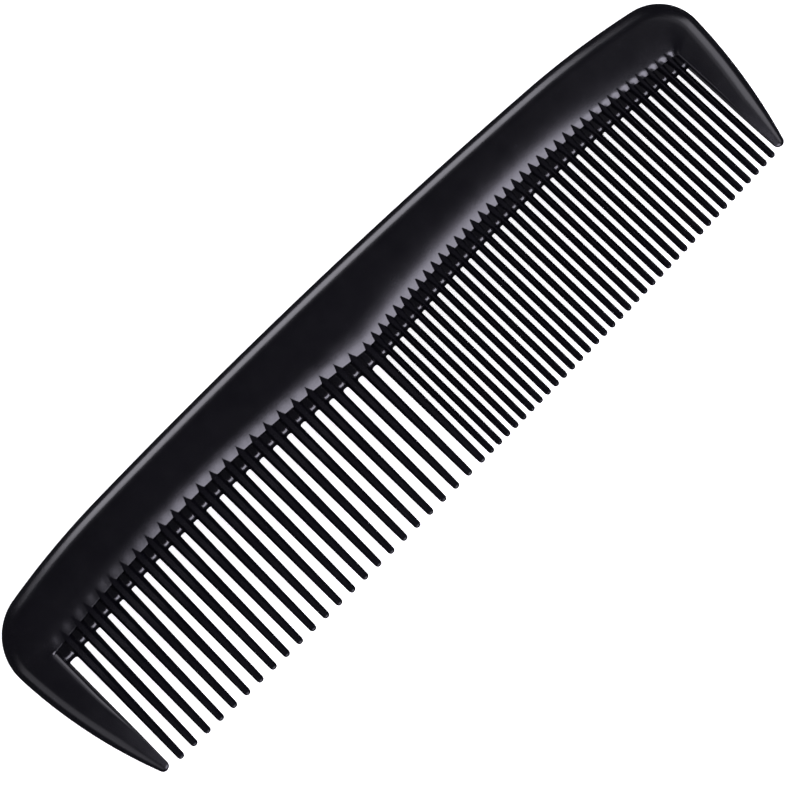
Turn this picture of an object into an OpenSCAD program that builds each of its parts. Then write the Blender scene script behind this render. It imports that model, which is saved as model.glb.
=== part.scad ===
// Pocket comb with a coarse half and a fine half, moulded in one piece and split here into its
// functional regions. It lies flat: X runs along the comb toward the fine end, Y runs from the tooth
// tips to the back, and Z is the thickness. The origin is under the middle of the comb, on the plane
// that it rests on.

/* [Overall size] */
// Length from end to end
comb_length = 127; // [125:0.5:129]
// Height from the back to the tips of the middle teeth
comb_height = 33.6; // [33:0.1:34.5]
// Thickness of the spine
spine_thickness = 4.2; // [3.8:0.1:5]
// Rounding of the outer edge, on both faces
edge_radius = 1.6; // [1:0.1:1.8]

/* [Back and corners] */
// Radius of the long curve of the back
back_radius = 900; // [880:5:920]
// How far the highest point of the back lies from the middle, toward the coarse end
crest_offset = 28.3; // [27:0.1:29]
// Radius where the back turns down toward each corner
shoulder_radius = 120; // [110:1:130]
// Angle of the back's curve from its highest point to the coarse shoulder
coarse_shoulder_angle = 0.7; // [0.5:0.1:0.9]
// Angle of the back's curve from its highest point to the fine shoulder
fine_shoulder_angle = 4.4; // [4.2:0.1:4.6]
// Radius of the corner at the coarse end
coarse_corner_radius = 8.1; // [7.5:0.1:8.6]
// Radius of the corner at the fine end
fine_corner_radius = 6.9; // [6.4:0.1:7.4]

/* [Teeth] */
// Number of coarse teeth
coarse_count = 24; // [20:1:24]
// Spacing of the coarse tooth tips
coarse_pitch = 2.471; // [2.3:0.001:2.475]
// Width of a coarse tooth at its root
coarse_root_width = 1.69; // [1.5:0.01:1.8]
// Width of a coarse tooth at its tip
coarse_tip_width = 1.04; // [0.9:0.01:1.15]
// Number of fine teeth
fine_count = 36; // [30:1:36]
// Spacing of the fine tooth tips
fine_pitch = 1.566; // [1.5:0.001:1.57]
// Width of a fine tooth at its root
fine_root_width = 0.97; // [0.85:0.01:1.05]
// Width of a fine tooth at its tip
fine_tip_width = 0.95; // [0.8:0.01:1]
// Distance from the middle of the comb to the first coarse tip
first_tip_offset = 55.72; // [55.6:0.02:55.9]
// Distance from the last coarse tip to the first fine tip
size_change_gap = 1.77; // [1.7:0.01:1.8]
// Radius of the gentle fan that the teeth spread in, and of the line of their tips
fan_radius = 1750; // [1650:10:1850]
// Thickness of a tooth where it leaves the spine
tooth_root_thickness = 2.8; // [2.4:0.1:3]
// Thickness of a tooth just behind its tip
tooth_tip_thickness = 1.3; // [1:0.1:1.6]

/* [Roots of the teeth] */
// Radius of the arc that the coarse slots end on
coarse_root_radius = 210; // [200:1:220]
// Where along the comb the coarse arc is highest, measured from the middle toward the coarse end
coarse_root_offset = 33; // [32:0.1:34]
// Depth of the coarse arc's highest point below the back
coarse_root_depth = 11.55; // [11.2:0.05:12]
// Radius of the arc that the fine slots end on
fine_root_radius = 192; // [185:1:200]
// Where along the comb the fine arc is highest, measured from the middle toward the fine end
fine_root_offset = 24.1; // [23:0.1:25]
// Depth of the fine arc's highest point below the back
fine_root_depth = 13.05; // [12.7:0.05:13.5]
// Height of the root web, from the slot ends up to the shoulder of the spine
web_height = 2.4; // [2:0.1:2.7]
// Height of the sloped band of the spine above its shoulder
slope_height = 2; // [1.8:0.1:2.2]
// Thickness of the root web at the slot ends
web_thickness = 1.2; // [0.8:0.1:1.6]

/* [End guards] */
// Radius of the outer side of the coarse guard
coarse_guard_radius = 70; // [68:0.5:72]
// Radius of the outer side of the fine guard
fine_guard_radius = 78; // [76:0.5:80]
// How far each corner turns past square before the side of its guard begins
guard_side_tilt = 2; // [1.8:0.1:2.2]
// Distance from the middle of the comb to the coarse guard's inner side, at its root
coarse_guard_inner = 57.45; // [57.35:0.05:57.55]
// Outward lean of the coarse guard's inner side
coarse_guard_lean = 0.8; // [0.6:0.1:1]
// Distance from the middle of the comb to the fine guard's inner side, at its root
fine_guard_inner = 58.2; // [58.1:0.05:58.3]
// Outward lean of the fine guard's inner side
fine_guard_lean = 2.4; // [2.2:0.1:2.6]
// Radius of the rounded tip of each guard
guard_tip_radius = 0.75; // [0.7:0.01:0.8]
// Thickness of a guard at its tip
guard_tip_thickness = 1.8; // [1.4:0.1:2.4]
// Length of each guard that keeps the full thickness of the spine
guard_flat_length = 7; // [5:0.5:10]

/* [Hidden] */
top_y = comb_height / 2;
half_length = comb_length / 2;
half_spine = spine_thickness / 2;
half_tooth_root = tooth_root_thickness / 2;
half_tooth_tip = tooth_tip_thickness / 2;
half_web = web_thickness / 2;
// The web is thicker at the shoulder than at the slot ends, and always thinner than the teeth
half_web_root = half_tooth_root - 0.2;
// Tall enough to pass through the whole thickness
through = spine_thickness + 4;

// Angle from the back's highest point at which a shoulder curve hands over to its corner, so that the
// comb ends exactly at its length
function corner_angle(reach, shoulder_angle, corner_radius) =
    asin((reach - (back_radius - shoulder_radius) * sin(shoulder_angle) - corner_radius)
        / (shoulder_radius - corner_radius));
// Point at a distance from a centre, at an angle from +Y that is positive toward the fine end
function polar_from_top(center, distance, angle) =
    [center.x + distance * sin(angle), center.y + distance * cos(angle)];

back_center = [-crest_offset, top_y - back_radius];
coarse_corner_angle =
    corner_angle(half_length - crest_offset, coarse_shoulder_angle, coarse_corner_radius);
fine_corner_angle =
    corner_angle(half_length + crest_offset, fine_shoulder_angle, fine_corner_radius);
coarse_shoulder_center =
    polar_from_top(back_center, back_radius - shoulder_radius, -coarse_shoulder_angle);
fine_shoulder_center =
    polar_from_top(back_center, back_radius - shoulder_radius, fine_shoulder_angle);
coarse_corner_center =
    polar_from_top(coarse_shoulder_center, shoulder_radius - coarse_corner_radius, -coarse_corner_angle);
fine_corner_center =
    polar_from_top(fine_shoulder_center, shoulder_radius - fine_corner_radius, fine_corner_angle);
// Angle from +Y at which the side of a guard takes over from the corner above it
guard_start_angle = 90 + guard_side_tilt;
// Height at which each guard meets the spine
coarse_joint = polar_from_top(coarse_corner_center, coarse_corner_radius, -guard_start_angle).y;
fine_joint = polar_from_top(fine_corner_center, fine_corner_radius, guard_start_angle).y;

coarse_root_center = [-coarse_root_offset, top_y - coarse_root_depth - coarse_root_radius];
fine_root_center = [fine_root_offset, top_y - fine_root_depth - fine_root_radius];

coarse_tips = [for (i = [0 : coarse_count - 1]) -first_tip_offset + i * coarse_pitch];
last_coarse_tip = coarse_tips[coarse_count - 1];
fine_tips = [for (i = [0 : fine_count - 1]) last_coarse_tip + size_change_gap + i * fine_pitch];
// Teeth are drawn longer than any tooth and cut back to the shoulder of the spine
tooth_reach = comb_height - coarse_root_depth + web_height + 2;

// Arcs this long and flat need many segments to draw smoothly
long_arc_fn = 1440;
small_arc_fn = 48;
// Number of flats that the rounding of the outer edge is made of, on each face
edge_flats = 4;
// How far in the foot of the spine's blank ends, below the joints where it is cut off
foot_inset = 3;

// The rounding of the outer edge, as how far in it has come and how high it has risen at each step
edge_insets = [for (i = [0 : edge_flats]) edge_radius * (1 - cos(i * 90 / edge_flats))];
edge_heights = [for (i = [0 : edge_flats]) half_spine - edge_radius * (1 - sin(i * 90 / edge_flats))];

// Cross-section of the rim: flat faces, with the outer edge rounded toward both faces in short flats
module rim_section(radius, depth) {
    upper = [for (i = [0 : edge_flats]) [radius - edge_insets[i], edge_heights[i]]];
    lower = [for (i = [edge_flats : -1 : 0]) [upper[i].x, -upper[i].y]];
    inner = radius - depth;
    polygon(concat([[inner, -half_spine]], lower, upper, [[inner, half_spine]]));
}

// Stretch of the rim swept about a centre, between two angles measured from +X
module rim_arc(center, radius, depth, from_angle, to_angle) {
    translate([center.x, center.y, 0])
        rotate([0, 0, from_angle])
            rotate_extrude(angle = to_angle - from_angle, $fn = long_arc_fn)
                rim_section(radius, depth);
}

// Where the inner side of a guard stands, at a height along it
function coarse_inner_x(y) = -coarse_guard_inner + y * tan(coarse_guard_lean);
function fine_inner_x(y) = fine_guard_inner - y * tan(fine_guard_lean);

// Plan of everything between the inner sides of the two guards
module between_guards(low_y, high_y) {
    polygon([
        [coarse_inner_x(low_y), low_y],
        [fine_inner_x(low_y), low_y],
        [fine_inner_x(high_y), high_y],
        [coarse_inner_x(high_y), high_y]
    ]);
}

// Solid inside one arc of slot ends, grown by a height above it
module root_disc(center, radius, grown) {
    translate([center.x, center.y, 0])
        cylinder(h = through, r = radius + grown, center = true, $fn = long_arc_fn);
}

module both_root_discs(grown) {
    root_disc(coarse_root_center, coarse_root_radius, grown);
    root_disc(fine_root_center, fine_root_radius, grown);
}

// What is cut from the spine along one arc of teeth: everything below the shoulder, and the two
// sloped bands above it
module shoulder_cutter(center, radius) {
    shoulder = radius + web_height;
    slope_top = shoulder + slope_height;
    half_cut = through / 2;
    translate([center.x, center.y, 0])
        rotate_extrude($fn = long_arc_fn)
            polygon([
                [0, -half_cut],
                [slope_top, -half_cut],
                [slope_top, -half_spine],
                [shoulder, -half_tooth_root],
                [shoulder, half_tooth_root],
                [slope_top, half_spine],
                [slope_top, half_cut],
                [0, half_cut]
            ]);
}

// Points along an arc, between two angles from +Y that are positive toward the fine end
function arc_points(center, radius, from_angle, to_angle, steps) = [
    for (i = [0 : steps])
        polar_from_top(center, radius, from_angle + i * (to_angle - from_angle) / steps)
];

// Outline of the back, shoulders and corners, drawn in by a distance all round. Each stretch is an arc
// that runs smoothly into the next. The two points at its foot lie below the guards' joints.
function back_outline(inset) = concat(
    [[-half_length + foot_inset, 0]],
    arc_points(coarse_corner_center, coarse_corner_radius - inset, -guard_start_angle, -90, 1),
    arc_points(coarse_corner_center, coarse_corner_radius - inset, -90, -coarse_corner_angle, 12),
    arc_points(coarse_shoulder_center, shoulder_radius - inset,
        -coarse_corner_angle, -coarse_shoulder_angle, 5),
    arc_points(back_center, back_radius - inset, -coarse_shoulder_angle, 0, 2),
    arc_points(back_center, back_radius - inset, 0, fine_shoulder_angle, 10),
    arc_points(fine_shoulder_center, shoulder_radius - inset, fine_shoulder_angle, fine_corner_angle, 5),
    arc_points(fine_corner_center, fine_corner_radius - inset, fine_corner_angle, 90, 12),
    arc_points(fine_corner_center, fine_corner_radius - inset, 90, guard_start_angle, 1),
    [[half_length - foot_inset, 0]]
);

// Plan of the spine's share of the comb: above the guards at the ends, and between them in the middle
module spine_territory() {
    polygon([
        [-half_length - 1, coarse_joint],
        [coarse_inner_x(coarse_joint), coarse_joint],
        [coarse_inner_x(0), 0],
        [fine_inner_x(0), 0],
        [fine_inner_x(fine_joint), fine_joint],
        [half_length + 1, fine_joint],
        [half_length + 1, top_y + 1],
        [-half_length - 1, top_y + 1]
    ]);
}

// Plan of what the roots may cut from the spine. It stops at the inner sides of the guards where the
// spine runs on above them, and is wider below, where there is no spine.
module root_territory() {
    polygon([
        [-half_length, -top_y],
        [half_length, -top_y],
        [half_length, fine_joint],
        [fine_inner_x(fine_joint), fine_joint],
        [fine_inner_x(top_y), top_y],
        [coarse_inner_x(top_y), top_y],
        [coarse_inner_x(coarse_joint), coarse_joint],
        [-half_length, coarse_joint]
    ]);
}

// Back, shoulders and corners in full thickness with their rounded edge, before the roots are cut
module spine_blank() {
    intersection() {
        hull()
            for (i = [0 : edge_flats])
                linear_extrude(height = 2 * edge_heights[i], center = true)
                    polygon(back_outline(edge_insets[i]));
        linear_extrude(height = through, center = true)
            spine_territory();
    }
}

module spine() {
    color([0.08, 0.08, 0.10])
        translate([0, 0, half_spine])
            difference() {
                spine_blank();
                intersection() {
                    linear_extrude(height = through, center = true)
                        root_territory();
                    union() {
                        shoulder_cutter(coarse_root_center, coarse_root_radius);
                        shoulder_cutter(fine_root_center, fine_root_radius);
                    }
                }
            }
}

// Puts a tooth's shape, drawn with its tip at the origin, at its place in the fan
module in_fan(tip) {
    translate([0, fan_radius - top_y])
        rotate(tip / fan_radius * 180 / PI)
            translate([0, -fan_radius])
                children();
}

// Plan of one tooth, tip at the origin and root toward +Y
module tooth_plan(root_width, tip_width) {
    polygon([
        [-tip_width / 2, tip_width / 2],
        [tip_width / 2, tip_width / 2],
        [root_width / 2, tooth_reach],
        [-root_width / 2, tooth_reach]
    ]);
    translate([0, tip_width / 2])
        circle(d = tip_width, $fn = small_arc_fn);
}

// Side view of one tooth, thinning from root to tip and bevelled at the tip
module tooth_side_view(root_width) {
    bevel = half_tooth_tip;
    rotate([90, 0, 90])
        linear_extrude(height = root_width + 1, center = true)
            polygon([
                [0, -half_tooth_tip / 2],
                [bevel, -half_tooth_tip],
                [tooth_reach, -half_tooth_root],
                [tooth_reach, half_tooth_root],
                [bevel, half_tooth_tip],
                [0, half_tooth_tip / 2]
            ]);
}

module teeth(tips, root_width, tip_width) {
    color([0.10, 0.10, 0.12])
        translate([0, 0, half_spine])
            intersection() {
                for (tip = tips)
                    in_fan(tip)
                        intersection() {
                            linear_extrude(height = through, center = true)
                                tooth_plan(root_width, tip_width);
                            tooth_side_view(root_width);
                        }
                both_root_discs(web_height);
            }
}

module coarse_teeth() {
    teeth(coarse_tips, coarse_root_width, coarse_tip_width);
}

module fine_teeth() {
    teeth(fine_tips, fine_root_width, fine_tip_width);
}

// Band between an arc of slot ends and the shoulder above it, thinning toward the slots
module web_band(center, radius) {
    band_angle = 36;
    translate([center.x, center.y, 0])
        rotate([0, 0, 90 - band_angle / 2])
            rotate_extrude(angle = band_angle, $fn = long_arc_fn)
                polygon([
                    [radius, -half_web],
                    [radius + web_height, -half_web_root],
                    [radius + web_height, half_web_root],
                    [radius, half_web]
                ]);
}

// The band of web left between the roots of the teeth, from one place along the comb to another
module root_web(center, radius, from_x, to_x) {
    color([0.06, 0.06, 0.08])
        translate([0, 0, half_spine])
            intersection() {
                web_band(center, radius);
                linear_extrude(height = through, center = true)
                    difference() {
                        intersection() {
                            between_guards(-2, 10);
                            translate([from_x, -2])
                                square([to_x - from_x, 12]);
                        }
                        for (tip = coarse_tips)
                            in_fan(tip)
                                tooth_plan(coarse_root_width, coarse_tip_width);
                        for (tip = fine_tips)
                            in_fan(tip)
                                tooth_plan(fine_root_width, fine_tip_width);
                    }
            }
}

module coarse_root_web() {
    root_web(coarse_root_center, coarse_root_radius, -half_length, last_coarse_tip);
}

module fine_root_web() {
    root_web(fine_root_center, fine_root_radius, last_coarse_tip, half_length);
}

// Side view of a guard: full thickness near the spine, thinning evenly to the tip
module guard_side_view(joint_y) {
    flat_end = joint_y - guard_flat_length;
    tip_y = -top_y;
    rotate([90, 0, 90])
        linear_extrude(height = comb_length + 2, center = true)
            polygon([
                [joint_y, -half_spine],
                [joint_y, half_spine],
                [flat_end, half_spine],
                [tip_y, guard_tip_thickness / 2],
                [tip_y, -guard_tip_thickness / 2],
                [flat_end, -half_spine]
            ]);
}

// One guard drawn for the fine end, below a corner whose centre is at a height. Its tip circle touches
// both the outer side and the inner side.
module guard(corner_radius, corner_y, side_radius, inner, lean) {
    corner_center = [half_length - corner_radius, corner_y];
    joint_y = polar_from_top(corner_center, corner_radius, guard_start_angle).y;
    side_center = polar_from_top(corner_center, corner_radius - side_radius, guard_start_angle);
    // The tip's centre lies on a line one tip radius outside the inner side
    down = [sin(lean), -cos(lean)];
    line_start = [inner + guard_tip_radius / cos(lean), 0] - side_center;
    reach = side_radius - guard_tip_radius;
    along = line_start * down;
    travel = -along + sqrt(along * along - line_start * line_start + reach * reach);
    from_side_center = line_start + travel * down;
    tip_center = side_center + from_side_center;
    outward = from_side_center / reach;
    inner_touch = tip_center - guard_tip_radius * [cos(lean), sin(lean)];
    inner_top = [inner - joint_y * tan(lean), joint_y];
    beyond = half_length + 5;
    band_depth = 12;
    translate([0, 0, half_spine])
        intersection() {
            rim_arc(side_center, side_radius, band_depth, -24, 0);
            linear_extrude(height = through, center = true) {
                polygon([
                    inner_top,
                    inner_touch,
                    tip_center,
                    tip_center + 3 * outward,
                    [beyond, tip_center.y + 1],
                    [beyond, joint_y]
                ]);
                translate(tip_center)
                    circle(r = guard_tip_radius, $fn = small_arc_fn);
            }
            guard_side_view(joint_y);
        }
}

module coarse_end_guard() {
    color([0.08, 0.08, 0.10])
        mirror([1, 0, 0])
            guard(coarse_corner_radius, coarse_corner_center.y, coarse_guard_radius,
                coarse_guard_inner, coarse_guard_lean);
}

module fine_end_guard() {
    color([0.08, 0.08, 0.10])
        guard(fine_corner_radius, fine_corner_center.y, fine_guard_radius,
            fine_guard_inner, fine_guard_lean);
}

spine();
coarse_root_web();
fine_root_web();
coarse_teeth();
fine_teeth();
coarse_end_guard();
fine_end_guard();
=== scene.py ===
"""Looks of the pocket comb. Shapes are worked out in millimetres in the frame of the CAD model and
put into Blender in metres. X runs along the comb toward the fine end, Y from the tooth tips to the
back, and Z is the thickness. Plan angles are measured from +Y and are positive toward the fine
end."""

import math
from types import SimpleNamespace

import bpy
import numpy as np
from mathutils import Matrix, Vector


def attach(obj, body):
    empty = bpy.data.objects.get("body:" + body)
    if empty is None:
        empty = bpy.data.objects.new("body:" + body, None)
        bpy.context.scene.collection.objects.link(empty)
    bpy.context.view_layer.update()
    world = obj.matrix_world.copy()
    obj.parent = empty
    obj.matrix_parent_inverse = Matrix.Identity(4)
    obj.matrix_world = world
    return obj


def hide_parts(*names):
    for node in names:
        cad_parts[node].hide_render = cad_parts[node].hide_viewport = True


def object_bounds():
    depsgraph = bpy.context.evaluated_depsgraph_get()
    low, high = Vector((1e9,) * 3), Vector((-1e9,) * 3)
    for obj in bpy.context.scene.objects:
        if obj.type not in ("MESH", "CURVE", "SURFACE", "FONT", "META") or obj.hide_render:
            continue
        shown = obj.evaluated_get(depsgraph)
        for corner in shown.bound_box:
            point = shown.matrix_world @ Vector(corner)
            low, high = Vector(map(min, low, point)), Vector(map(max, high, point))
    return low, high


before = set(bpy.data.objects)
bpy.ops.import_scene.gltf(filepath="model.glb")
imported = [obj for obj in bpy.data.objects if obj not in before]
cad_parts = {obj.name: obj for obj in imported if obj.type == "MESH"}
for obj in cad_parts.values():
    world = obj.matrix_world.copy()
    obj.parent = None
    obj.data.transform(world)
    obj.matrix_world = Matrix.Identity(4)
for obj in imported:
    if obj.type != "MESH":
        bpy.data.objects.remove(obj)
cad_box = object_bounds()

MM = 0.001
# Turns a point of the plan over, from one end of the comb to the other
mirror = np.array([-1, 1])
# Keeps divisions clear of zero
tiny = 1e-9

# -------------------------------------------------------------------------------------------------
# Driving dimensions, in millimetres and degrees. The overall ones come from the CAD model's box.
# -------------------------------------------------------------------------------------------------
half_length = cad_box[1].x / MM
top_y = cad_box[1].y / MM
half_thickness = cad_box[1].z / MM / 2

# Back: a long arc, whose crest stands toward the coarse end, and a tighter curve to each corner
back_radius = 900
crest_offset = 28.3
shoulder_curve_radius = 120

# Height of the web above the arcs that the slots end on
web_height = 2.4

# Teeth, placed by where their tips stand on an arc of radius fan_radius. Between the last coarse
# tooth and the first fine one the step is middle_pitch.
fan_radius = 1750
fan_center_y = fan_radius - top_y
first_coarse_tip = -55.72
coarse_count = 24
coarse_pitch = 2.471
middle_pitch = 1.77
fine_count = 36
fine_pitch = 1.566
coarse_tips = first_coarse_tip + coarse_pitch * np.arange(coarse_count)
fine_tips = coarse_tips[-1] + middle_pitch + fine_pitch * np.arange(fine_count)
# The widths of the teeth change evenly, and would come to the root width at this height above the
# tips
width_reach = 26.3
tooth_tip_half_thickness = 0.65
tooth_root_half_thickness = 1.4

# What is particular to each half: the arc that its slots end on, whose top lies at root_x and
# root_drop below the crest of the back, the widths of its teeth, the part of a tooth's width that
# its flat top takes up, and half the width of that top at the shoulder. The power shapes how the
# top narrows from there: hollow above 1, bulging below it.
coarse_half = SimpleNamespace(
    tips=coarse_tips,
    root_x=-33,
    root_drop=11.55,
    root_radius=210,
    root_width=1.69,
    tip_width=1.04,
    top_share=0.45,
    crown_half_width=0.35,
    crown_power=1.2,
)
fine_half = SimpleNamespace(
    tips=fine_tips,
    root_x=24.1,
    root_drop=13.05,
    root_radius=192,
    root_width=0.97,
    tip_width=0.95,
    top_share=0.15,
    crown_half_width=0.3,
    crown_power=0.5,
)
for half in (coarse_half, fine_half):
    half.root_center = np.array([half.root_x, top_y - half.root_drop - half.root_radius])

# What is particular to each end: its side of the middle, the angle where the long arc of the back
# hands over to the tighter curve, the corner, and the guard. The inner side of a guard stands
# guard_inner from the middle, halfway up the comb, and leans outward toward the tip.
coarse_end = SimpleNamespace(
    side=-1,
    half=coarse_half,
    shoulder_angle=0.7,
    corner_radius=8.1,
    guard_radius=70,
    guard_inner=57.45,
    guard_lean=0.8,
    guard_edge_width=1.3,
)
fine_end = SimpleNamespace(
    side=1,
    half=fine_half,
    shoulder_angle=4.4,
    corner_radius=6.9,
    guard_radius=78,
    guard_inner=58.2,
    guard_lean=2.4,
    guard_edge_width=0.5,
)
guard_side_tilt = 2
guard_tip_radius = 0.75
guard_tip_half_thickness = 0.9
guard_flat_length = 7

# Rounding of the rim, across the comb and through its thickness, and the small flat left between
# faces
rim_width = 2.3
rim_land = 0.25
# Gentle doming of the faces
face_crown = 0.05
# Depth of the rounding of the guards' inner edges, and rounding of the shoulder above the teeth
guard_edge_depth = 0.6
shoulder_edge = 0.05
# Share of a guard's thinning at which its inner edge has become as sharp as the shoulder
guard_edge_end = 0.6
# Curve of the guards' thinning toward their tips
guard_fall_power = 1.6
# Largest shares of the body's width that its rim, inner edge and slope band take up, and of its
# half thickness that the inner edge takes up
rim_share = 0.62
edge_share = 0.2
band_share = 0.35
edge_depth_share = 0.6
# How far the band for the slope runs past the slope itself
band_margin = 0.1
least_half_thickness = 0.04
# How worn the rim and the inner edges are, from 0 to 1
rim_wear = 0.6
edge_wear = 0.8
# Band above the teeth where the face curves down to the shoulder. It is narrower above the coarse
# teeth, and shallower toward both ends. The power shapes its curve.
coarse_slope_width = 2.7
fine_slope_width = 5.0
coarse_slope_power = 1.5
fine_slope_power = 2.0
coarse_slope_drop = 0.49
fine_slope_drop = 0.85
coarse_end_slope_drop = 0.12
fine_end_slope_drop = 0.38
# Hollows between the crowns of the teeth, which run up into the slope and are deepest at the fine
# end
coarse_flute_length = 1.9
fine_flute_length = 0.95
coarse_end_flute_depth = 0.12
middle_flute_depth = 0.02
fine_end_flute_depth = 0.14
# How far the crowns of the teeth reach up the slope: further at the coarse end
crown_reach = 1.3
coarse_end_crown_reach = 1.9
# How much narrower the crowns of the teeth are at the fine end
fine_end_crown_narrowing = 0.12
# Stretches of X over which these values change: from one half to the other, and toward the two ends
half_change = (-14, 12)
slope_coarse_end = (-58, -28)
slope_fine_end = (34, 58)
flute_coarse_end = (-56, -36)
flute_fine_end = (32, 54)
crown_coarse_end = (-60, -32)
crown_fine_end = (36, 58)
# Lengths over which the outline and the thickness of a tooth round off at its tip
tip_length = 0.65
tip_bevel = 0.3
# Length below the shoulder over which the top of a tooth rises to its crown
root_length = 10
# How far a tooth is buried in the spine
buried_length = 2.2
# Widening of a tooth at its root, on each side
root_flare = 0.12
# Steepness of the flanks of the teeth, the least half thickness left at their foot, and how many
# points a section has on each flank and over its flat top
flank_slope = 1.8
thinnest_flank = 0.2
flank_points = 4
level_points = 5
# Rounding where the shoulder meets the inner sides of the guards
inner_corner_radius = 0.35
# Edges of the teeth and the web that turn by more than this angle are shaded sharp
sharp_edge_angle = 34


def smoothstep(low, high, value):
    """Rises smoothly from 0 to 1 between a low and a high value."""
    share = np.clip((value - low) / (high - low), 0, 1)
    return share * share * (3 - 2 * share)


def directions(angles):
    """Unit vectors at plan angles in degrees."""
    turned = np.radians(angles)
    return np.stack([np.sin(turned), np.cos(turned)], axis=-1)


def arc(center, radius, start, end, count):
    """Points along an arc, and the directions from its centre to them."""
    outward = directions(np.linspace(start, end, count))
    return center + radius * outward, outward


def meet(start, direction, center, distance):
    """The far point of a ray that stands at a distance from a centre."""
    offset = start - center
    along = offset @ direction
    travel = math.sqrt(along ** 2 - offset @ offset + distance ** 2) - along
    return start + travel * direction


# -------------------------------------------------------------------------------------------------
# Plan of the body: the outer outline and the inner one, paired station by station
# -------------------------------------------------------------------------------------------------
def shoulder_height(x):
    """Y of the shoulder: the higher of the two arcs, with the valley between them eased."""
    valley_ease = 0.3
    arc_heights = []
    for half in (coarse_half, fine_half):
        radius = half.root_radius + web_height
        across = x - half.root_center[0]
        arc_heights.append(half.root_center[1] + np.sqrt(radius ** 2 - across ** 2))
    coarse, fine = arc_heights
    return (coarse + fine + np.sqrt((coarse - fine) ** 2 + valley_ease ** 2)) / 2


def resample(points, normals, count):
    """Evenly spaced points along a dense line, with its normals."""
    steps = np.linalg.norm(np.diff(points, axis=0), axis=1)
    length = np.concatenate([[0], np.cumsum(steps)])
    wanted = np.linspace(0, length[-1], count)
    placed = np.stack([np.interp(wanted, length, points[:, i]) for i in (0, 1)], axis=1)
    turned = np.stack([np.interp(wanted, length, normals[:, i]) for i in (0, 1)], axis=1)
    return placed, turned / np.linalg.norm(turned, axis=1, keepdims=True)


back_center = np.array([-crest_offset, top_y - back_radius])


def place_corner(end):
    """Works out where the curve of the back that leads to a corner is centred, the plan angle at
    which it hands over to the corner, and the height of the corner's centre."""
    to_shoulder = back_radius - shoulder_curve_radius
    to_corner = shoulder_curve_radius - end.corner_radius
    reach = half_length + end.side * crest_offset
    across = reach - to_shoulder * math.sin(math.radians(end.shoulder_angle)) - end.corner_radius
    end.shoulder_center = back_center + to_shoulder * directions(end.side * end.shoulder_angle)
    end.corner_angle = math.degrees(math.asin(across / to_corner))
    end.corner_y = (end.shoulder_center + to_corner * directions(end.side * end.corner_angle))[1]


class Stations:
    """Paired points of the outer and inner outlines, with the directions from each into the
    body."""

    def __init__(self, outer, outer_inward, inner, inner_inward):
        self.outer = outer
        self.outer_inward = outer_inward
        self.inner = inner
        self.inner_inward = inner_inward

    def mirrored_and_reversed(self):
        """The same stations at the other end of the comb, still in the order of X."""
        return Stations(*[(values * mirror)[::-1] for values in vars(self).values()])

    def trimmed(self, first, after_last):
        """Only some of the stations."""
        return Stations(*[values[first:after_last] for values in vars(self).values()])

    def count(self):
        """How many stations there are."""
        return len(self.outer)


def joined(parts):
    """One run of stations from several."""
    columns = zip(*[vars(part).values() for part in parts])
    return Stations(*[np.concatenate(values) for values in columns])


def end_stations(end):
    """Corner and guard of an end, drawn as if it were the fine end."""
    lean = end.guard_lean
    tilt = math.radians(lean)
    down = np.array([math.sin(tilt), -math.cos(tilt)])
    across = np.array([math.cos(tilt), math.sin(tilt)])
    foot = np.array([end.guard_inner, 0.0])

    root_center = end.half.root_center * np.array([end.side, 1])
    inside = end.half.root_radius + web_height - inner_corner_radius
    fillet_center = meet(foot - inner_corner_radius * across, -down, root_center, inside)
    radial = fillet_center - root_center
    fillet_start = math.degrees(math.atan2(radial[0], radial[1]))
    corner_center = np.array([half_length - end.corner_radius, end.corner_y])
    corner_end = 90 + guard_side_tilt
    corner_count = 36
    outer, outward = arc(
        corner_center, end.corner_radius, end.corner_angle, corner_end, corner_count
    )
    fillet, inward = arc(fillet_center, inner_corner_radius, fillet_start, 90 - lean, corner_count)
    corner = Stations(outer, -outward, fillet, inward)

    side_center = corner_center + (end.corner_radius - end.guard_radius) * directions(corner_end)
    tip_line = foot + guard_tip_radius * across
    tip_center = meet(tip_line, down, side_center, end.guard_radius - guard_tip_radius)
    sideways = tip_center - side_center
    side_end = 90 + math.degrees(math.atan2(-sideways[1], sideways[0]))
    guard_count = 72
    outer, outward = arc(side_center, end.guard_radius, corner_end, side_end, guard_count)
    line_start = fillet_center + inner_corner_radius * across
    line_end = tip_center - guard_tip_radius * across
    share = np.linspace(0, 1, guard_count)[:, None]
    line = line_start + share * (line_end - line_start)
    guard = Stations(outer, -outward, line, np.tile(across, (guard_count, 1)))

    tip_angle = (side_end + 270 - lean) / 2
    tip_count = 12
    # The tip stops just short of a point, and is closed by a very small flat
    tip_stop = 0.97
    outer_end = side_end + tip_stop * (tip_angle - side_end)
    inner_end = 270 - lean + tip_stop * (tip_angle - 270 + lean)
    outer, outward = arc(tip_center, guard_tip_radius, side_end, outer_end, tip_count)
    inner_side, outward_inner = arc(tip_center, guard_tip_radius, 270 - lean, inner_end, tip_count)
    tip = Stations(outer, -outward, inner_side, -outward_inner)
    return corner, joined([guard.trimmed(1, None), tip.trimmed(1, None)])


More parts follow.
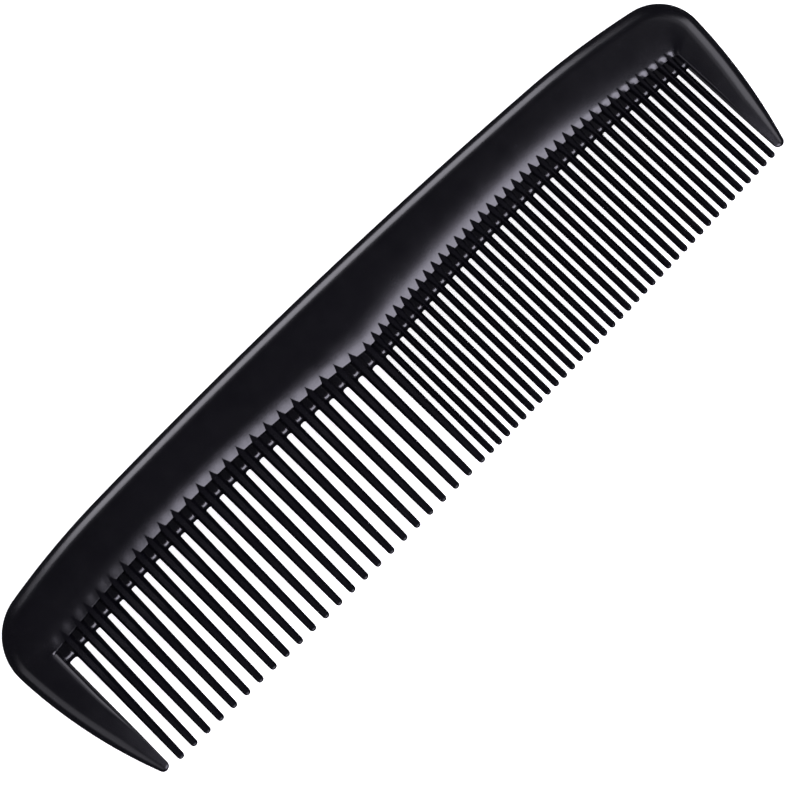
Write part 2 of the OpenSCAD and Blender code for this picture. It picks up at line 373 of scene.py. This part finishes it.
def middle_stations(start_x, end_x):
    """The back paired with the shoulder above the teeth, between the two corners."""
    count = 640
    dense = 400
    radius = shoulder_curve_radius
    coarse_angle = -coarse_end.shoulder_angle
    fine_angle = fine_end.shoulder_angle
    parts = [
        arc(coarse_end.shoulder_center, radius, -coarse_end.corner_angle, coarse_angle, dense),
        arc(back_center, back_radius, coarse_angle, fine_angle, 4 * dense),
        arc(fine_end.shoulder_center, radius, fine_angle, fine_end.corner_angle, dense),
    ]
    points = np.concatenate([part[0] for part in parts])
    outward = np.concatenate([part[1] for part in parts])
    outer, outer_normal = resample(points, outward, count)
    x = np.linspace(start_x, end_x, 8 * dense)
    y = shoulder_height(x)
    slope = np.gradient(y, x)
    normal = np.stack([-slope, np.ones_like(slope)], axis=1)
    normal /= np.linalg.norm(normal, axis=1, keepdims=True)
    inner, inner_normal = resample(np.stack([x, y], axis=1), normal, count)
    return Stations(outer, -outer_normal, inner, inner_normal)


place_corner(coarse_end)
place_corner(fine_end)
coarse_corner, coarse_guard = [part.mirrored_and_reversed() for part in end_stations(coarse_end)]
fine_corner, fine_guard = end_stations(fine_end)
# Heights at which the guards take over from the corners
coarse_joint = coarse_corner.outer[0, 1]
fine_joint = fine_corner.outer[-1, 1]
middle = middle_stations(coarse_corner.inner[-1, 0], fine_corner.inner[0, 0])
body = joined([coarse_guard, coarse_corner, middle.trimmed(1, -1), fine_corner, fine_guard])
spine_start = coarse_guard.count()
spine_end = body.count() - fine_guard.count() - 1


# -------------------------------------------------------------------------------------------------
# Height of the upper face above the middle plane. The lower face is its mirror image.
# -------------------------------------------------------------------------------------------------
def fan_position(x, y):
    """Where a point's line in the fan of teeth comes down on the arc of the tips."""
    return fan_radius * np.arctan2(x, fan_center_y - y)


def along_comb(coarse_value, fine_value, x):
    """A value that changes from the coarse half to the fine half."""
    return coarse_value + (fine_value - coarse_value) * smoothstep(*half_change, x)


def slope_width_at(x):
    """Width of the band where the face curves down to the shoulder."""
    return along_comb(coarse_slope_width, fine_slope_width, x)


def slope_drop_at(x):
    """Drop of the slope at the shoulder."""
    drop = along_comb(coarse_slope_drop, fine_slope_drop, x)
    drop = drop + (coarse_end_slope_drop - drop) * (1 - smoothstep(*slope_coarse_end, x))
    return drop + (fine_end_slope_drop - drop) * smoothstep(*slope_fine_end, x)


def crown_reach_at(x):
    """How far up the slope the crown of a tooth comes to its point."""
    longer = coarse_end_crown_reach - crown_reach
    return crown_reach + longer * (1 - smoothstep(*crown_coarse_end, x))


def slope_fall(x, distance):
    """How far the slope has fallen below the face, at a distance above the shoulder."""
    power = along_comb(coarse_slope_power, fine_slope_power, x)
    return slope_drop_at(x) * np.clip(1 - distance / slope_width_at(x), 0, 1) ** power


def guard_post(end):
    """Place in the fan of a guard's inner side, level with the end of the slot beside it."""
    y = float(shoulder_height(end.side * end.guard_inner)) - web_height
    from_middle = end.guard_inner - y * math.tan(math.radians(end.guard_lean))
    return float(fan_position(end.side * from_middle, y))


coarse_guard_post = guard_post(coarse_end)
fine_guard_post = guard_post(fine_end)
posts = np.concatenate([[coarse_guard_post], coarse_tips, fine_tips, [fine_guard_post]])


def flute_fall(x, y, distance):
    """Depth of the hollows between the crowns: deepest midway between two teeth."""
    place = fan_position(x, y)
    index = np.clip(np.searchsorted(posts, place) - 1, 0, len(posts) - 2)
    share = np.clip((place - posts[index]) / (posts[index + 1] - posts[index]), 0, 1)
    deeper_at_coarse_end = coarse_end_flute_depth - middle_flute_depth
    deeper_at_fine_end = fine_end_flute_depth - middle_flute_depth
    depth = middle_flute_depth + deeper_at_coarse_end * (1 - smoothstep(*flute_coarse_end, x))
    depth = depth + deeper_at_fine_end * smoothstep(*flute_fine_end, x)
    up_flute = np.clip(distance / along_comb(coarse_flute_length, fine_flute_length, x), 0, 1)
    return depth * np.sin(np.pi * share) ** 2 * (1 - up_flute ** 2) ** 2


def body_sections(stations):
    """What the section of the body is like at each station: how far apart its two outlines are,
    whether it is the spine's or a guard's, the directions in which it leaves the outlines, half its
    thickness, and the sizes of its rim, its inner edge and the band of its slope."""
    gap = np.linalg.norm(stations.outer - stations.inner, axis=1)
    index = np.arange(stations.count())
    # Guard and spine change into each other over a few stations beside each joint
    on_guard_side = 4
    on_spine_side = 30
    past_coarse = smoothstep(spine_start - on_guard_side, spine_start + on_spine_side, index)
    past_fine = smoothstep(spine_end - on_spine_side, spine_end + on_guard_side, index)
    on_spine = past_coarse * (1 - past_fine)

    # On the guards the columns run straight across, and on the spine they leave both outlines
    # squarely
    chord = (stations.inner - stations.outer) / gap[:, None]
    square = on_spine[:, None]
    from_outer = square * stations.outer_inward + (1 - square) * chord
    from_outer /= np.linalg.norm(from_outer, axis=1, keepdims=True)
    from_inside = square * stations.inner_inward - (1 - square) * chord
    from_inside /= np.linalg.norm(from_inside, axis=1, keepdims=True)

    # Thickness: full over the spine and the upper part of the guards, then falling to the tips,
    # which close in a round end
    at_coarse_end = stations.outer[:, 0] < 0
    flat_end = np.where(at_coarse_end, coarse_joint, fine_joint) - guard_flat_length
    fall = np.clip((flat_end - stations.outer[:, 1]) / (flat_end + top_y), 0, 1)
    half = half_thickness + (guard_tip_half_thickness - half_thickness) * fall ** guard_fall_power
    closing_share = np.clip(gap / (2 * guard_tip_radius), 0, 1)
    half = half * np.sqrt(1 - (1 - closing_share) ** 2)

    # Widths of the rim, the inner edge and the band of the slope, each no more than a share of the
    # gap
    rim = np.minimum(rim_width, rim_share * gap)
    rim_depth = half * (1 - rim_land / half_thickness)
    guard_edge = np.where(at_coarse_end, coarse_end.guard_edge_width, fine_end.guard_edge_width)
    # The inner edge gets sharper along the guard, and is sharp all along the shoulder
    sharp = np.maximum(on_spine, smoothstep(0, guard_edge_end, fall))
    edge = guard_edge + (shoulder_edge - guard_edge) * sharp
    edge = np.minimum(edge, edge_share * gap)
    edge_depth = guard_edge_depth + (shoulder_edge - guard_edge_depth) * sharp
    edge_depth = np.minimum(edge_depth, edge_depth_share * half)
    band = np.minimum(slope_width_at(stations.inner[:, 0]) + band_margin, band_share * gap)
    return SimpleNamespace(
        gap=gap,
        on_spine=on_spine,
        from_outer=from_outer,
        from_inside=from_inside,
        half=half,
        rim=rim,
        rim_depth=rim_depth,
        edge=edge,
        edge_depth=edge_depth,
        band=band,
    )


def body_surface(stations):
    """Grid of points on the upper face, one row for each station, from the rim to the inner edge,
    and how much each point is worn."""
    section = body_sections(stations)
    gap = section.gap
    rim = section.rim
    edge = section.edge
    band = section.band
    columns = []

    def add(points, from_rim, from_inner, rim_fall, edge_fall):
        share = from_rim / np.maximum(from_rim + from_inner, tiny)
        doming = face_crown * section.half / half_thickness * (2 * share - 1) ** 2
        height = section.half - rim_fall - edge_fall - doming
        height -= section.on_spine * slope_fall(points[:, 0], from_inner)
        height -= section.on_spine * flute_fall(points[:, 0], points[:, 1], from_inner)
        columns.append(np.column_stack([points, height]))

    rim_steps = 12
    for angle in np.linspace(0, math.pi / 2, rim_steps):
        inset = rim * (1 - math.cos(angle))
        points = stations.outer + inset[:, None] * section.from_outer
        add(points, inset, gap - inset, section.rim_depth * (1 - math.sin(angle)), 0)

    rim_end = stations.outer + rim[:, None] * section.from_outer
    band_start = stations.inner + band[:, None] * section.from_inside
    face_steps = 7
    for share in np.linspace(0, 1, face_steps + 1)[1:]:
        points = rim_end + share * (band_start - rim_end)
        from_rim = rim + share * (gap - rim - band)
        add(points, from_rim, gap - from_rim, 0, 0)

    # Closer together toward the shoulder, where the hollows are
    slope_steps = 15
    for share in np.linspace(1, 0, slope_steps + 1)[1:]:
        distance = edge + share ** 2 * (band - edge)
        points = stations.inner + distance[:, None] * section.from_inside
        add(points, gap - distance, distance, 0, 0)

    edge_steps = 6
    for angle in np.linspace(math.pi / 2, 0, edge_steps + 1)[1:]:
        distance = edge * (1 - math.cos(angle))
        points = stations.inner + distance[:, None] * section.from_inside
        add(points, gap - distance, distance, 0, section.edge_depth * (1 - math.sin(angle)))

    surface = np.stack(columns, axis=1)
    surface[:, :, 2] = np.maximum(surface[:, :, 2], least_half_thickness)
    # The rounded part of the rim and the inner edges are the most handled
    worn_from = 2
    worn_to = rim_steps - 3
    wear = np.zeros(surface.shape[:2])
    wear[:, worn_from:worn_to] = rim_wear
    wear[:, -edge_steps:] = edge_wear
    return surface, wear


# -------------------------------------------------------------------------------------------------
# Meshes
# -------------------------------------------------------------------------------------------------
def vertex_normals(vertices, faces):
    """Area-weighted normals of the vertices of a mesh of quads."""
    corners = vertices[faces]
    face_normals = np.cross(corners[:, 2] - corners[:, 0], corners[:, 3] - corners[:, 1])
    normals = np.zeros_like(vertices)
    for corner in range(4):
        np.add.at(normals, faces[:, corner], face_normals)
    return normals / np.maximum(np.linalg.norm(normals, axis=1, keepdims=True), tiny)


def make_piece(name, vertices, faces, material, wear, normals=None):
    """A smooth-shaded mesh that stands for the CAD node of that name and rides on the comb."""
    mesh = bpy.data.meshes.new(name)
    placed = vertices * MM + np.array([0, 0, half_thickness * MM])
    mesh.from_pydata(placed.tolist(), [], [list(face) for face in faces])
    mesh.validate()
    mesh.polygons.foreach_set("use_smooth", np.ones(len(mesh.polygons), dtype=bool))
    if normals is None:
        mesh.set_sharp_from_angle(angle=math.radians(sharp_edge_angle))
    worn = mesh.attributes.new("wear", "FLOAT", "POINT")
    worn.data.foreach_set("value", np.asarray(wear, dtype=np.float32))
    if normals is not None:
        mesh.normals_split_custom_set_from_vertices(normals.tolist())
    mesh.update()
    # The name differs from the node's own, because the CAD node stays in the file
    piece = bpy.data.objects.new(name + "_moulding", mesh)
    bpy.context.scene.collection.objects.link(piece)
    mesh.materials.append(material)
    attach(piece, "root")
    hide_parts(name)


def closed_band(surface):
    """Vertices, side quads and end quads of a solid between a grid and its mirror image in the
    middle plane."""
    rows, columns = surface.shape[:2]
    lower = surface * np.array([1, 1, -1])
    vertices = np.concatenate([surface.reshape(-1, 3), lower.reshape(-1, 3)])
    grid = np.arange(rows * columns).reshape(rows, columns)
    under = grid + rows * columns

    def quads(a, b, c, d):
        return np.stack([a.ravel(), b.ravel(), c.ravel(), d.ravel()], axis=1)

    top = quads(grid[:-1, :-1], grid[:-1, 1:], grid[1:, 1:], grid[1:, :-1])
    bottom = quads(under[:-1, :-1], under[1:, :-1], under[1:, 1:], under[:-1, 1:])
    outer = quads(grid[:-1, 0], grid[1:, 0], under[1:, 0], under[:-1, 0])
    inner = quads(grid[:-1, -1], under[:-1, -1], under[1:, -1], grid[1:, -1])
    sides = np.concatenate([top, bottom, outer, inner])
    first = quads(grid[0, :-1], under[0, :-1], under[0, 1:], grid[0, 1:])
    last = quads(grid[-1, :-1], grid[-1, 1:], under[-1, 1:], under[-1, :-1])
    return vertices, sides, np.concatenate([first, last])


def build_body(material):
    """Spine and guards, cut from one continuous surface so that no seam shows between them."""
    surface, wear = body_surface(body)
    vertices, sides, _ = closed_band(surface)
    smooth = vertex_normals(vertices, sides).reshape(2, *surface.shape)
    ranges = {
        "coarse_end_guard": slice(0, spine_start + 1),
        "spine": slice(spine_start, spine_end + 1),
        "fine_end_guard": slice(spine_end, None),
    }
    for name, rows in ranges.items():
        vertices, sides, caps = closed_band(surface[rows])
        normals = smooth[:, rows].reshape(-1, 3)
        worn = np.concatenate([wear[rows].ravel()] * 2)
        make_piece(name, vertices, np.concatenate([sides, caps]), material, worn, normals)


def to_plan(local, place, height):
    """Points of a tooth's own frame moved to the comb's frame. The origin of the tooth's frame
    stands at a height up the tooth's line, which comes down on the arc of the tips at a place."""
    angle = place / fan_radius
    across = np.array([math.cos(angle), math.sin(angle)])
    upward = np.array([-math.sin(angle), math.cos(angle)])
    origin = np.array([0, fan_center_y]) + (height - fan_radius) * upward
    moved = local.copy()
    moved[:, :2] = origin + local[:, :1] * across + local[:, 1:2] * upward
    return moved


def height_on_arc(place, center, radius):
    """How far up a tooth's line an arc of slot ends or shoulders is met."""
    angle = place / fan_radius
    upward = np.array([-math.sin(angle), math.cos(angle)])
    tip = np.array([0, fan_center_y]) - fan_radius * upward
    met = meet(tip, upward, center, radius)
    return float(np.linalg.norm(met - tip))


def tooth_width(height, half):
    """Full width of a tooth at a height above its tip."""
    start = half.tip_width / 2
    widening = half.root_width - half.tip_width
    return half.tip_width + widening * (height - start) / (width_reach - start)


def rounded_end(share):
    """How much of a tooth's size is reached, as its tip rounds off over a share of a length."""
    fullness = 2.4
    return (1 - (1 - np.minimum(share, 1)) ** fullness) ** (1 / fullness)


def ring_heights(shoulder):
    """Heights of a tooth's rings above its tip. They are closer together at the tip and near the
    root."""
    tip_rings = 7
    body_rings = 12
    root_rings = 24
    tip_angles = np.linspace(0, math.pi / 2, tip_rings + 1)[1:]
    return np.concatenate([
        tip_length * (1 - np.cos(tip_angles)),
        np.linspace(tip_length, shoulder - root_length, body_rings)[1:],
        np.linspace(shoulder - root_length, shoulder + buried_length, root_rings)[1:],
    ])


def ring_sizes(heights, shoulder, place, half):
    """Half the width, half the width of the flat top and half the thickness of a tooth at each
    height. The top rises gently toward the root, then runs level into the slope of the spine while
    it narrows, so that what shows of the crown comes to a point."""
    reach = crown_reach_at(place)
    crown_height = half_thickness - face_crown - float(slope_fall(place, reach))
    share = np.minimum(heights / shoulder, 1)
    thickening = tooth_root_half_thickness - tooth_tip_half_thickness
    thick = tooth_tip_half_thickness + thickening * share
    rise = smoothstep(shoulder - root_length, shoulder, heights)
    thick += (crown_height - tooth_root_half_thickness) * rise
    wide = tooth_width(np.maximum(heights, half.tip_width / 2), half) / 2
    wide += root_flare * smoothstep(shoulder - 2 * web_height / 3, shoulder, heights)
    widening = smoothstep(shoulder - web_height, shoulder, heights)
    narrowing = fine_end_crown_narrowing * smoothstep(*crown_fine_end, place)
    top = half.top_share * wide * (1 - widening) + (half.crown_half_width - narrowing) * widening
    top *= np.clip(1 - (heights - shoulder) / reach, 0, 1) ** half.crown_power
    return wide, top, thick


def tooth(place, half):
    """One tooth, lofted from its tip to its crown, and how worn its points are. Its section has a
    flat top and steep flanks, and is the same below the middle plane as above it."""
    shoulder = height_on_arc(place, half.root_center, half.root_radius + web_height)
    heights = ring_heights(shoulder)
    wide, top, thick = ring_sizes(heights, shoulder, place, half)
    round_off = rounded_end(heights / tip_length)
    thin_off = rounded_end(heights / tip_bevel)

    # How far out on the flat top each point of the section lies, and how far beyond it on the flank
    flank = np.linspace(0, 1, flank_points)
    level = np.linspace(1, -1, level_points)
    on_top = np.concatenate([np.ones(flank_points), level[1:-1], -np.ones(flank_points)])
    on_flank = np.concatenate([flank[::-1], np.zeros(level_points - 2), -flank])
    x = top[:, None] * on_top + (wide - top)[:, None] * on_flank
    upper = thick[:, None] - flank_slope * (wide - top)[:, None] * np.abs(on_flank)
    upper = thin_off[:, None] * np.maximum(upper, thinnest_flank)
    x = round_off[:, None] * x
    y = np.repeat(heights[:, None], x.shape[1], axis=1)
    rings = np.concatenate([
        np.stack([x, y, upper], axis=2),
        np.stack([x, y, -upper], axis=2)[:, ::-1],
    ], axis=1)
    points = np.concatenate([[[0, 0, 0]], rings.reshape(-1, 3)])
    worn_length = 2.5
    wear = np.concatenate([[1], np.repeat(np.exp(-heights / worn_length), rings.shape[1])])
    return to_plan(points, place, 0), wear


def tooth_faces(point_count, sides):
    """Faces of a lofted tooth whose first vertex is its tip."""
    ring_count = (point_count - 1) // sides
    rings = 1 + np.arange(ring_count * sides).reshape(ring_count, sides)
    after = np.roll(rings, -1, axis=1)
    faces = [[0, int(a), int(b)] for a, b in zip(after[0], rings[0])]
    for low, low_next, high, high_next in zip(rings[:-1], after[:-1], rings[1:], after[1:]):
        faces += [list(map(int, quad)) for quad in zip(low, low_next, high_next, high)]
    faces.append([int(v) for v in rings[-1]])
    return faces


def build_teeth(name, half, material):
    """All the teeth of one half, as separate solids in one mesh."""
    vertices = []
    faces = []
    wear = []
    start = 0
    # The flat top shares its two end points with the flanks, above and below
    sides = 2 * (2 * flank_points + level_points - 2)
    for place in half.tips:
        points, worn = tooth(place, half)
        faces += [[v + start for v in face] for face in tooth_faces(len(points), sides)]
        vertices.append(points)
        wear.append(worn)
        start += len(points)
    make_piece(name, np.concatenate(vertices), faces, material, np.concatenate(wear))


def web_block(left, right, half):
    """The web at the end of one slot, between two flanks given as (place, half width) at the slot's
    end. Its rows run outward from the round slot end, until they are inside the teeth and the
    spine."""
    left_edge = left[0] + left[1]
    right_edge = right[0] - right[1]
    place = (left_edge + right_edge) / 2
    slot_half = (right_edge - left_edge) / 2
    end_height = height_on_arc(place, half.root_center, half.root_radius)
    overlap = 0.3
    side_reach = slot_half + overlap
    top_reach = slot_half + web_height + overlap
    corner = math.atan2(side_reach, top_reach)
    top_columns = 7
    side_columns = 8
    half_turn = np.concatenate([
        np.linspace(0, corner, top_columns),
        np.linspace(corner, math.pi / 2, side_columns)[1:],
    ])
    turn = np.concatenate([-half_turn[::-1], half_turn[1:]])
    sideways = np.abs(np.sin(turn))
    upward = np.cos(turn)
    to_side = side_reach / np.maximum(sideways, tiny)
    to_top = top_reach / np.maximum(upward, tiny)
    limit = np.minimum(to_side, to_top)
    # The slot ends in a superellipse, nearly square, with a rounded corner on each side
    fullness = 4
    end_reach = slot_half / (sideways ** fullness + upward ** fullness) ** (1 / fullness)
    # The rows are closer together near the slot, where the lip is round
    steps = 20
    crowding = 1.4
    shares = np.linspace(0, 1, steps) ** crowding
    distance = shares[:, None] * (limit - end_reach)[None, :]
    out = end_reach + distance
    x = out * np.sin(turn)
    y = out * np.cos(turn) - slot_half

    # Half the thickness of the web behind its lip and at the very edge of the slot
    floor_half = 0.98
    edge_half = 0.12
    lip_width = 1.05
    rise = np.clip(y / lip_width, 0, 1)
    rounding = np.sqrt(1 - (1 - rise) ** 2)
    height = edge_half + (floor_half - edge_half) * rounding
    # Beyond the slot's own width the web falls away under the flanks of the teeth
    under_flank = 1.5
    height = np.maximum(height - under_flank * np.clip(np.abs(x) - slot_half, 0, None), edge_half)
    surface = np.stack([x, y, height], axis=2)
    rows, columns = surface.shape[:2]
    flat = to_plan(surface.reshape(-1, 3), place, end_height)
    return flat.reshape(rows, columns, 3)


def build_webs(name, flanks, half, material):
    """A block of web for each slot between neighbouring flanks, each given as (place, half
    width)."""
    vertices = []
    faces = []
    start = 0
    for left, right in zip(flanks[:-1], flanks[1:]):
        points, sides, caps = closed_band(web_block(left, right, half))
        vertices.append(points)
        faces.append(np.concatenate([sides, caps]) + start)
        start += len(points)
    points = np.concatenate(vertices)
    make_piece(name, points, np.concatenate(faces), material, np.zeros(len(points)))


# -------------------------------------------------------------------------------------------------
# Material
# -------------------------------------------------------------------------------------------------
def link_math(tree, operation, first, second):
    """A Math node fed with sockets or numbers."""
    node = tree.nodes.new("ShaderNodeMath")
    node.operation = operation
    for socket, value in zip(node.inputs, (first, second)):
        if isinstance(value, bpy.types.NodeSocket):
            tree.links.new(value, socket)
        else:
            socket.default_value = value
    return node.outputs[0]


def noise(tree, coordinates, scale, detail):
    """Smooth random values from 0 to 1."""
    node = tree.nodes.new("ShaderNodeTexNoise")
    node.inputs["Scale"].default_value = scale
    node.inputs["Detail"].default_value = detail
    tree.links.new(coordinates, node.inputs["Vector"])
    return node.outputs["Fac"]


def stretched(tree, coordinates, scale, turn):
    """Coordinates squeezed across a direction, so that noise on them draws out into fine
    scratches."""
    node = tree.nodes.new("ShaderNodeMapping")
    node.inputs["Scale"].default_value = scale
    node.inputs["Rotation"].default_value = (0, 0, math.radians(turn))
    tree.links.new(coordinates, node.inputs["Vector"])
    return node.outputs["Vector"]


def black_plastic(name, roughness, ior, grain_depth):
    """Moulded black plastic with faint cloudiness, a satin micro grain, handling scratches and
    polished edges."""
    base = (0.0010, 0.0009, 0.0017)
    worn_base = (0.004, 0.0037, 0.0055)
    material = bpy.data.materials.new(name)
    material.use_nodes = True
    tree = material.node_tree
    shader = tree.nodes["Principled BSDF"]
    place = tree.nodes.new("ShaderNodeTexCoord").outputs["Object"]
    wear = tree.nodes.new("ShaderNodeAttribute")
    wear.attribute_name = "wear"

    cloud = noise(tree, place, scale=130, detail=3)
    grain = noise(tree, place, scale=9000, detail=2)
    smear = noise(tree, place, scale=420, detail=4)
    drawn_along = stretched(tree, place, scale=(60, 5200, 60), turn=12)
    drawn_across = stretched(tree, place, scale=(4200, 50, 50), turn=-17)
    long_scratch = noise(tree, drawn_along, scale=1, detail=2)
    cross_scratch = noise(tree, drawn_across, scale=1, detail=2)

    worn = link_math(tree, "MULTIPLY", wear.outputs["Fac"], smear)
    tint = tree.nodes.new("ShaderNodeMix")
    tint.data_type = "RGBA"
    tint.inputs["A"].default_value = (*base, 1)
    tint.inputs["B"].default_value = (*worn_base, 1)
    cloud_share = 0.35
    worn_share = 0.5
    clouded = link_math(tree, "MULTIPLY", cloud, cloud_share)
    shade = link_math(tree, "ADD", clouded, link_math(tree, "MULTIPLY", worn, worn_share))
    tree.links.new(shade, tint.inputs["Factor"])
    tree.links.new(tint.outputs["Result"], shader.inputs["Base Color"])

    spread = 0.1
    polish = 0.04
    smeared = link_math(tree, "MULTIPLY", smear, spread)
    rough = link_math(tree, "ADD", roughness - spread / 2, smeared)
    polished = link_math(tree, "MULTIPLY", wear.outputs["Fac"], polish)
    rough = link_math(tree, "SUBTRACT", rough, polished)
    tree.links.new(rough, shader.inputs["Roughness"])

    grain_share = 0.5
    scratches = link_math(tree, "MINIMUM", long_scratch, cross_scratch)
    relief = link_math(tree, "ADD", link_math(tree, "MULTIPLY", grain, grain_share), scratches)
    bump = tree.nodes.new("ShaderNodeBump")
    bump.inputs["Strength"].default_value = 0.35
    bump.inputs["Distance"].default_value = grain_depth * MM
    tree.links.new(relief, bump.inputs["Height"])
    tree.links.new(bump.outputs["Normal"], shader.inputs["Normal"])
    shader.inputs["IOR"].default_value = ior
    return material


# The same plastic throughout. The teeth shine a little less: their lower IOR is painted shade,
# which dims their reflections in place of the shade that neighbouring teeth cast. The web, which is
# never handled, has a shallower grain.
face_plastic = black_plastic("black_plastic_face", roughness=0.25, ior=1.46, grain_depth=0.006)
# Painted shade: a lower IOR dims the teeth's reflections in place of shade from their neighbours
tooth_plastic_painted_shade = black_plastic("black_plastic_teeth_painted_shade", roughness=0.24, ior=1.36, grain_depth=0.006)
web_plastic = black_plastic("black_plastic_web", roughness=0.22, ior=1.46, grain_depth=0.004)

build_body(face_plastic)
build_teeth("coarse_teeth", coarse_half, tooth_plastic_painted_shade)
build_teeth("fine_teeth", fine_half, tooth_plastic_painted_shade)
# Height above the tips at which the widths of the teeth beside a slot's end are taken
slot_end_height = 22
coarse_flank = tooth_width(slot_end_height, coarse_half) / 2
fine_flank = tooth_width(slot_end_height, fine_half) / 2
coarse_flanks = [(coarse_guard_post, 0)] + [(tip, coarse_flank) for tip in coarse_tips]
fine_flanks = [(coarse_tips[-1], coarse_flank)] + [(tip, fine_flank) for tip in fine_tips]
fine_flanks.append((fine_guard_post, 0))
build_webs("coarse_root_web", coarse_flanks, coarse_half, web_plastic)
build_webs("fine_root_web", fine_flanks, fine_half, web_plastic)


# -------------------------------------------------------------------------------------------------
# Stage, lights and camera
# -------------------------------------------------------------------------------------------------
def make_stage():
    """A pale floor that sweeps up into a wall all round. It isn't mirrored in the black plastic."""
    floor_radius = 1.6
    sweep_radius = 0.9
    wall_height = 1.6
    sweep_steps = 12
    profile = [(0, 0)]
    for angle in np.linspace(0, math.pi / 2, sweep_steps):
        radius = floor_radius + sweep_radius * math.sin(angle)
        profile.append((radius, sweep_radius * (1 - math.cos(angle))))
    profile.append((floor_radius + sweep_radius, wall_height))
    sides = 64
    vertices = [(0, 0, 0)]
    for radius, height in profile[1:]:
        for side in range(sides):
            turn = 2 * math.pi * side / sides
            vertices.append((radius * math.cos(turn), radius * math.sin(turn), height))
    faces = [(0, 1 + side, 1 + (side + 1) % sides) for side in range(sides)]
    for ring in range(len(profile) - 2):
        for side in range(sides):
            low = 1 + ring * sides
            following = (side + 1) % sides
            faces.append((low + side, low + sides + side, low + sides + following, low + following))
    mesh = bpy.data.meshes.new("stage")
    mesh.from_pydata(vertices, [], faces)
    mesh.polygons.foreach_set("use_smooth", np.ones(len(mesh.polygons), dtype=bool))
    stage = bpy.data.objects.new("stage", mesh)
    bpy.context.scene.collection.objects.link(stage)
    stage.visible_glossy = False
    material = bpy.data.materials.new("pale_floor")
    material.use_nodes = True
    shader = material.node_tree.nodes["Principled BSDF"]
    shader.inputs["Base Color"].default_value = (0.85, 0.85, 0.85, 1)
    shader.inputs["Roughness"].default_value = 0.9
    shader.inputs["Emission Color"].default_value = (1, 1, 1, 1)
    shader.inputs["Emission Strength"].default_value = 0.8
    mesh.materials.append(material)


def softbox(name, azimuth, off_vertical, distance, width, height, radiance, color):
    """A rectangular light that looks at the comb, in metres. Azimuth is a plan angle, and radiance
    is its brightness."""
    light = bpy.data.lights.new(name, "AREA")
    light.shape = "RECTANGLE"
    light.size = width
    light.size_y = height
    light.energy = radiance * math.pi * width * height
    light.color = color
    lamp = bpy.data.objects.new(name, light)
    bpy.context.scene.collection.objects.link(lamp)
    away = math.radians(off_vertical)
    turn = math.radians(azimuth)
    outward = math.sin(away)
    direction = Vector((math.sin(turn) * outward, math.cos(turn) * outward, math.cos(away)))
    lamp.location = direction * distance
    lamp.rotation_euler = direction.to_track_quat("Z", "Y").to_euler()


def make_world():
    """Dim surroundings, so that the flat faces stay black."""
    world = bpy.data.worlds.new("studio")
    world.use_nodes = True
    background = world.node_tree.nodes["Background"]
    background.inputs["Color"].default_value = (0.05, 0.05, 0.055, 1)
    bpy.context.scene.world = world


def make_camera():
    """Straight above the comb, turned so that its fine end points up and to the right."""
    view_turn = 45.45
    picture_width = 107.9
    camera_height = 600
    sensor = 36
    aim_right = 1.583
    aim_up = -2.847
    turn = math.radians(view_turn)
    right = Vector((math.cos(turn), -math.sin(turn), 0))
    upward = Vector((math.sin(turn), math.cos(turn), 0))
    data = bpy.data.cameras.new("camera")
    data.sensor_width = sensor
    data.lens = sensor * camera_height / picture_width
    data.clip_start = 0.01
    camera = bpy.data.objects.new("camera", data)
    bpy.context.scene.collection.objects.link(camera)
    camera.location = (right * aim_right + upward * aim_up) * MM
    camera.location.z = (half_thickness + camera_height) * MM
    camera.rotation_euler = (0, 0, -turn)
    bpy.context.scene.camera = camera


make_stage()
make_world()
cool_white = (0.92, 0.90, 1.0)
violet_white = (0.87, 0.84, 1.0)
softbox("back_light", azimuth=1, off_vertical=63, distance=0.40,
        width=0.22, height=0.25, radiance=7.0, color=cool_white)
softbox("tooth_side_light", azimuth=180, off_vertical=37, distance=0.40,
        width=0.26, height=0.18, radiance=10.5, color=violet_white)
softbox("fine_end_light", azimuth=98, off_vertical=52, distance=0.45,
        width=0.24, height=0.30, radiance=3.2, color=cool_white)
softbox("coarse_end_light", azimuth=-100, off_vertical=54, distance=0.45,
        width=0.24, height=0.28, radiance=1.1, color=cool_white)
softbox("overhead_panel", azimuth=90, off_vertical=24, distance=0.55,
        width=0.20, height=0.16, radiance=0.9, color=cool_white)
make_camera()
bpy.context.scene.view_settings.view_transform = "Standard"
